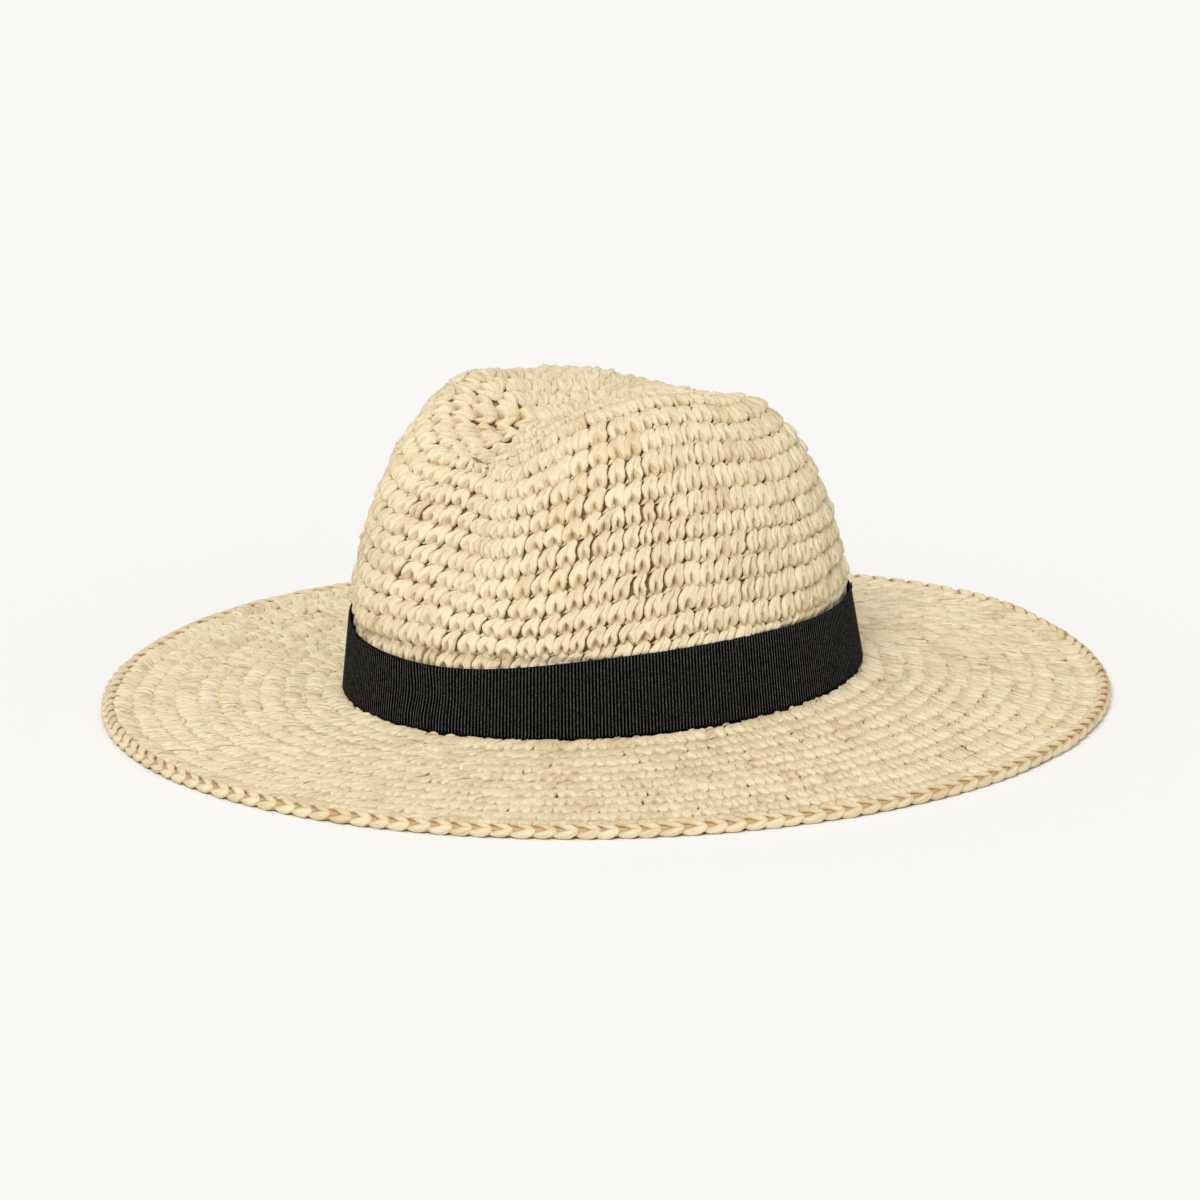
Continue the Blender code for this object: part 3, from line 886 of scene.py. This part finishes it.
UNDER_ARM = np.array([
    (-0.15, -60, 0.55, 0.0010, 0.0006),
    (0.05, -72, 0.75, 0.0016, 0.0008),
    (0.30, -82, 0.82, 0.0020, 0.0009),
    (0.55, -90, 0.82, 0.0021, 0.0009),
    (0.80, -84, 0.80, 0.0019, 0.0009),
    (1.05, -72, 0.72, 0.0015, 0.0008),
    (1.25, -62, 0.50, 0.0010, 0.0006),
])


ARM_REACH_OUT = EDGE_DEPTH / 2 - 0.0012  # from the edge's middle to the straw's
ARM_REACH_UP = EDGE_HEIGHT / 2 - 0.0009


def edge_axes(angle):
    """The middle of the edge at each angle, with the direction outwards."""
    flat = brim_oval(angle, -EDGE_DEPTH / 2)
    middle = np.concatenate([flat, (EDGE_HEIGHT / 2 + brim_lift(angle))[..., None]], axis=-1)
    outward = unit(brim_oval(angle, 0.01) - brim_oval(angle))
    outward = np.concatenate([outward, 0 * outward[..., :1]], axis=-1)
    return middle, outward


def arm_points(arm, at, turn):
    """An arm of every link, as points in space: (links, along, 3), with the directions away from the core."""
    share, degrees, out = arm[:, 0], np.radians(arm[:, 1]), arm[:, 2]
    angle = at[:, None] + share * turn[:, None]
    middle, outward = edge_axes(angle)
    upwards = np.array([0, 0, 1.0])
    away = outward * np.cos(degrees)[:, None] + upwards * np.sin(degrees)[:, None]
    offset = outward * (ARM_REACH_OUT * np.cos(degrees) * out)[:, None]
    offset = offset + upwards * (ARM_REACH_UP * np.sin(degrees) * out)[:, None]
    return middle + offset, away


def braid(straw):
    """Two strands of straw looped round the brim's edge in even links, and the one that lies under them."""
    chance = np.random.default_rng(41)
    fine = np.linspace(0, 360, 2881)
    lengths = lengths_along(brim_oval(fine))
    links = round(lengths[-1] / EDGE_LINK)
    stray = 0.06 * chance.standard_normal(links)
    at = np.interp((np.arange(links) + stray) * lengths[-1] / links, lengths, fine)
    turn = (np.append(at[1:], at[0] + 360) - np.append(at[-1] - 360, at[:-1])) / 2
    around = np.linspace(0, 2 * math.pi, AROUND_ARM, endpoint=False)
    parts = []
    for arm in (UPPER_ARM, OUTER_ARM, UNDER_ARM):
        arm = resampled(arm, 10)
        centre, away = arm_points(arm, at, turn)
        tangent = unit(np.gradient(centre, axis=1))
        lateral = unit(np.cross(away, tangent))
        normal = np.cross(tangent, lateral)
        folds = 1 + 0.06 * np.sin(5 * around + chance.random(links)[:, None, None] * 6)
        size = 1 + 0.08 * chance.standard_normal(links)[:, None, None]
        across = arm[:, 3][None, :, None] * signed_power(np.cos(around), 0.85) * folds * size
        up = arm[:, 4][None, :, None] * signed_power(np.sin(around), 0.85) * folds * size
        rings = tube_rings(centre, lateral, normal, across, up)
        rings[..., 2] = np.maximum(rings[..., 2], LOWEST)
        strand = strand_places(across, up, (arm[:, 0] * EDGE_LINK)[:, None])
        parts.append((rings, strand, tones(rings, chance)))
    add_piece(tube_mesh("brim_edge_braid", parts), straw, "brim_edge")
    add_piece(core_mesh("brim_edge_core"), straw, "brim_edge")


def resampled(table, count):
    """A table with this many rows, at even places between its own."""
    share = np.linspace(0, 1, count)
    at = np.linspace(0, 1, len(table))
    return np.stack([np.interp(share, at, column) for column in table.T], axis=-1)


def core_mesh(name):
    """The straw inside the braid, wrapped over the wire: a C in section, open towards the brim."""
    outline = np.array([  # inwards from the brim's outline, and up
        (EDGE_DEPTH, 0.0010),
        (EDGE_DEPTH, 0.0014),
        (0.0022, 0.0014),
        (0.0014, 0.0008),
        (0.0014, -0.0008),
        (0.0022, -0.0018),
        (EDGE_DEPTH, -0.0019),
        (EDGE_DEPTH, -0.0015),
        (0.0030, -0.0014),
        (0.0030, 0.0009),
    ])
    angle = np.arange(0, 360, 2.5)
    flat = np.stack([brim_oval(angle, -inward) for inward in outline[:, 0]], axis=1)
    height = (EDGE_HEIGHT / 2 + brim_lift(angle))[:, None] + outline[:, 1]
    points = np.concatenate([flat, height[..., None]], axis=-1)
    return joined_mesh(name, points, closed=True)


# Ribbons and tapes.

RIB = 0.00133
RIB_STEPS = 6
TAPE_RIB = 0.0008
LABEL_RIB = 0.0005
HEAD_GIRTH = 0.57
BAND_TUCK = 0.0008  # how far the band's lower edge goes down between the brim's stitches
BUCKLE_ANGLE = 152  # where the band gives way over the side's dent
JOIN_LIFT = 0.0045  # the tape over the sweatband's join is this much shorter
LABEL_RISE = 0.002  # of the label's middle over the sweatband's


def rib_wave(points, steps, power):
    """0 between ribs and 1 on them, at each point across the ribs."""
    return np.abs(np.sin(math.pi * np.arange(points) / steps)) ** power


def ribbon_mesh(name, a, h, offset, base, tone_and_sheen):
    """A ribbon along the crown's wall, with its shown side at offset and its hidden one flat at base."""
    top, low = wall_place(a, h, offset), wall_place(a[:, [0, -1]], h[:, [0, -1]], base)
    sections = np.concatenate([low[:, :1], top, low[:, -1:]], axis=1)
    mesh = joined_mesh(name, sections, closed=False)
    # The ribbon material reads this as painted sheen, brightest on the ribs' crests.
    set_tone_and_sheen(mesh, np.broadcast_to(tone_and_sheen, sections.shape[:2]))
    return mesh


def band_mesh(name):
    """The hatband: every rib is a rounded cord that runs up the band and turns over at its edges."""
    ring_angles = np.linspace(BAND_JOIN + 0.3, BAND_JOIN + 359.7, 2881)
    lengths = lengths_along(wall_place(ring_angles, BAND_HEIGHT / 2, FABRIC / 2))
    ribs = round(lengths[-1] / RIB)
    angles = np.interp(np.linspace(0, lengths[-1], ribs * RIB_STEPS + 1), lengths, ring_angles)
    wave = rib_wave(len(angles), RIB_STEPS, 0.7)[:, None]
    levels = np.linspace(0, 1, 17)
    edge = np.clip(np.minimum(levels, 1 - levels) / 0.02, 0, 1)
    ends = np.where(levels < 0.5, -1.0, 1.0) * (1 - edge)
    heights = (BAND_LIFT + BAND_HEIGHT + BAND_TUCK) * levels - BAND_TUCK
    a, h = np.meshgrid(angles, heights, indexing="ij")
    h = h + 0.00022 * ends * wave
    buckle = 0.9 * bump(a, BUCKLE_ANGLE, 9) * np.sin(2 * math.pi * (h / 0.022 + 0.1))
    a = a + buckle * 0.45
    offset = FABRIC / 2 + GAP + BAND_THICKNESS * 0.55 + 0.00042 * wave
    offset = offset + 0.0004 * bump(a, BUCKLE_ANGLE, 8) * np.sin(np.radians(a) * 60 + 90 * h)
    offset = offset + 0.0009 * bump(a, BUCKLE_ANGLE + 11, 8) * levels**2
    # wave**5 is the band's painted sheen, brightest on each rib's crest.
    return ribbon_mesh(name, a, h, offset, FABRIC / 2 + GAP, wave**5)


def keeper_mesh(name):
    """The short piece of ribbon over the band's join. Its ribs run round the hat."""
    across = np.linspace(-1, 1, 25)
    angles = BAND_JOIN + np.linspace(-KEEPER_HALF_ARC, KEEPER_HALF_ARC, 25)
    levels = np.linspace(0, 1, round(BAND_HEIGHT / RIB) * RIB_STEPS + 1)
    wave = rib_wave(len(levels), RIB_STEPS, 0.7)
    under = FABRIC / 2 + GAP + BAND_THICKNESS + GAP
    heights = BAND_LIFT + BAND_HEIGHT * levels
    a, h = np.meshgrid(angles, heights, indexing="ij")
    fall = np.minimum(1, (1 - np.abs(across)) / 0.10)[:, None]
    offset = under + BAND_THICKNESS * (0.35 + 0.3 * fall) + 0.00025 * wave
    # The last argument is the keeper's painted sheen, brightest on each rib's crest.
    return ribbon_mesh(name, a, h, offset, under - 0.0001, np.concatenate([[0], wave**5, [0]]))


def tape_mesh(name, arc, heights, face, thickness, rib):
    """A woven tape inside the crown's wall, its ribs upright, its long edges rounded. A full arc closes."""
    steps = max(8, round((arc[1] - arc[0]) / 360 * HEAD_GIRTH / rib) * 4)
    angle = np.linspace(*arc, steps + 1)
    wave = rib_wave(steps + 1, 4, 0.8)
    closed = arc[1] - arc[0] == 360
    if closed:
        angle, wave = angle[:-1], wave[:-1]
    levels = np.linspace(0, 1, 9)
    a, h = np.meshgrid(angle, heights[0] + (heights[1] - heights[0]) * levels, indexing="ij")
    edge = np.minimum(1, np.minimum(levels, 1 - levels) / 0.04)
    inner = wall_place(a, h, face + thickness * 0.25 * (1 - edge) - 0.00010 * wave[:, None] * edge)
    outer = wall_place(a[:, [-1, 0]], h[:, [-1, 0]], face + thickness)
    sections = np.concatenate([inner, outer], axis=1)
    return joined_mesh(name, sections, closed)


def ribbons(black, cotton, white):
    low, high = SWEATBAND_LIFT, SWEATBAND_LIFT + SWEATBAND_HEIGHT
    middle = (low + high) / 2 + LABEL_RISE
    inside_face = -FABRIC / 2 - GAP - SWEATBAND_THICKNESS
    join_face = inside_face - GAP - JOIN_THICKNESS
    label_face = join_face - GAP - LABEL_THICKNESS
    join_arc, label_arc = (-JOIN_HALF_ARC, JOIN_HALF_ARC), (-LABEL_HALF_ARC, LABEL_HALF_ARC)
    label_heights = (middle - LABEL_HEIGHT / 2, middle + LABEL_HEIGHT / 2)
    inside = ("sweatband_tape_ring", (0, 360), (low, high), inside_face, SWEATBAND_THICKNESS, TAPE_RIB)
    join = ("sweatband_join", join_arc, (low + JOIN_LIFT, high), join_face, JOIN_THICKNESS, TAPE_RIB)
    label = ("blank_label", label_arc, label_heights, label_face, LABEL_THICKNESS, LABEL_RIB)
    band = add_piece(band_mesh("hatband_ribbon"), black, "hatband")
    keeper = add_piece(keeper_mesh("hatband_keeper_ribbon"), black, "hatband_keeper")
    inside = add_piece(tape_mesh(*inside), cotton, "sweatband")
    join = add_piece(tape_mesh(*join), cotton, "sweatband_tape")
    label = add_piece(tape_mesh(*label), white, "label")


def finish_cad_nodes(steel, thread, black_thread):
    """Looks for the CAD nodes that show as they are."""
    looks = {"brim_wire": steel, "wire_sleeve": steel, "sweatband_seam": thread}
    looks |= {"label_stitch_left": thread, "label_stitch_right": thread}
    looks |= {f"hatband_tack_{number}": black_thread for number in range(1, 7)}
    for name, look in looks.items():
        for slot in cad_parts[name].material_slots:
            slot.material = look


# The studio.

FLOOR_REACH = 60.0
FLOOR_COLOUR = (0.868, 0.861, 0.849, 1)
DOME_COLOUR = (1.0, 0.995, 0.985, 1)
DOME_STRENGTH = 0.62
SHOWN_DOME_STRENGTH = 0.95  # looks as bright as the lit floor
KEY_STRENGTH = 2.08
KEY_SOFTNESS = 28  # degrees, like the turns and the heights
KEY_HEIGHT = 46
KEY_TURN = 57
CAMERA_TURN = 70
CAMERA_HEIGHT = 16.5
CAMERA_DISTANCE = 8.0
CAMERA_TARGET = np.array([-0.0009, -0.0024, 0.0422])
VIEW_WIDTH = 0.4685  # at the target
SENSOR_WIDTH = 36


def studio():
    scene = bpy.context.scene
    corners = [(x * FLOOR_REACH, y * FLOOR_REACH, 0) for x, y in ((-1, -1), (1, -1), (1, 1), (-1, 1))]
    floor_mesh = bpy.data.meshes.new("floor")
    floor_mesh.from_pydata(corners, [], [(0, 1, 2, 3)])
    floor = bpy.data.objects.new("floor", floor_mesh)
    scene.collection.objects.link(floor)
    paper, _, shader = new_material("paper_floor", 0.9, 0.1)
    shader.inputs["Base Color"].default_value = FLOOR_COLOUR
    floor_mesh.materials.append(paper)
    scene.world = studio_world()
    light = bpy.data.lights.new("soft_key", "SUN")
    light.energy = KEY_STRENGTH
    light.angle = math.radians(KEY_SOFTNESS)
    lamp = bpy.data.objects.new("soft_key", light)
    lamp.rotation_euler = (math.radians(90 - KEY_HEIGHT), 0, math.radians(KEY_TURN))
    scene.collection.objects.link(lamp)
    scene.view_settings.view_transform = "Standard"


def studio_world():
    """A soft white dome, which is brighter where it shows over the horizon than in the light it gives."""
    world = bpy.data.worlds.new("studio")
    world.use_nodes = True
    tree = world.node_tree
    dome = tree.nodes["Background"]
    dome.inputs["Color"].default_value = DOME_COLOUR
    dome.inputs["Strength"].default_value = DOME_STRENGTH
    shown = node(tree, "ShaderNodeBackground", Color=DOME_COLOUR, Strength=SHOWN_DOME_STRENGTH)
    mixed = tree.nodes.new("ShaderNodeMixShader")
    seen = tree.nodes.new("ShaderNodeLightPath").outputs["Is Camera Ray"]
    for socket, value in zip(mixed.inputs, (seen, dome.outputs["Background"], shown.outputs["Background"])):
        feed(tree, socket, value)
    tree.links.new(mixed.outputs["Shader"], tree.nodes["World Output"].inputs["Surface"])
    return world


def camera():
    turn, height = math.radians(CAMERA_TURN), math.radians(CAMERA_HEIGHT)
    back = (math.sin(turn) * math.cos(height), -math.cos(turn) * math.cos(height), math.sin(height))
    data = bpy.data.cameras.new("camera")
    data.sensor_width = SENSOR_WIDTH
    data.lens = SENSOR_WIDTH * CAMERA_DISTANCE / VIEW_WIDTH
    view = bpy.data.objects.new("camera", data)
    view.location = CAMERA_TARGET + np.array(back) * CAMERA_DISTANCE
    view.rotation_euler = (math.pi / 2 - height, 0, turn)
    bpy.context.scene.collection.objects.link(view)
    bpy.context.scene.camera = view


camera()
straw = straw_material("paper_straw", (0.82, 0.70, 0.47), (0.66, 0.50, 0.27), 0.0011)
# Painted shade: the sheet behind the stitches is dark brown, for the shade that shows through the gaps
# between them and inside the hat.
shade = woven_material("painted_shade_back", (0.36, 0.22, 0.08), (0.26, 0.16, 0.06), 500.0, 0.85, 0.0003)
crown_and_brim(straw, shade)
braid(straw)
ribbons(
    ribbon_material(),
    woven_material("beige_tape", (0.62, 0.53, 0.38), (0.48, 0.40, 0.27), 1500.0, 0.85, 0.0001),
    woven_material("white_label", (0.80, 0.78, 0.72), (0.66, 0.64, 0.58), 2200.0, 0.8, 0.0001),
)
finish_cad_nodes(
    steel_material(),
    woven_material("straw_thread", (0.72, 0.62, 0.44), (0.55, 0.45, 0.30), 3000.0, 0.6, 0.0001),
    woven_material("black_thread", (0.03, 0.03, 0.03), (0.008, 0.008, 0.008), 3000.0, 0.6, 0.0001),
)
studio()
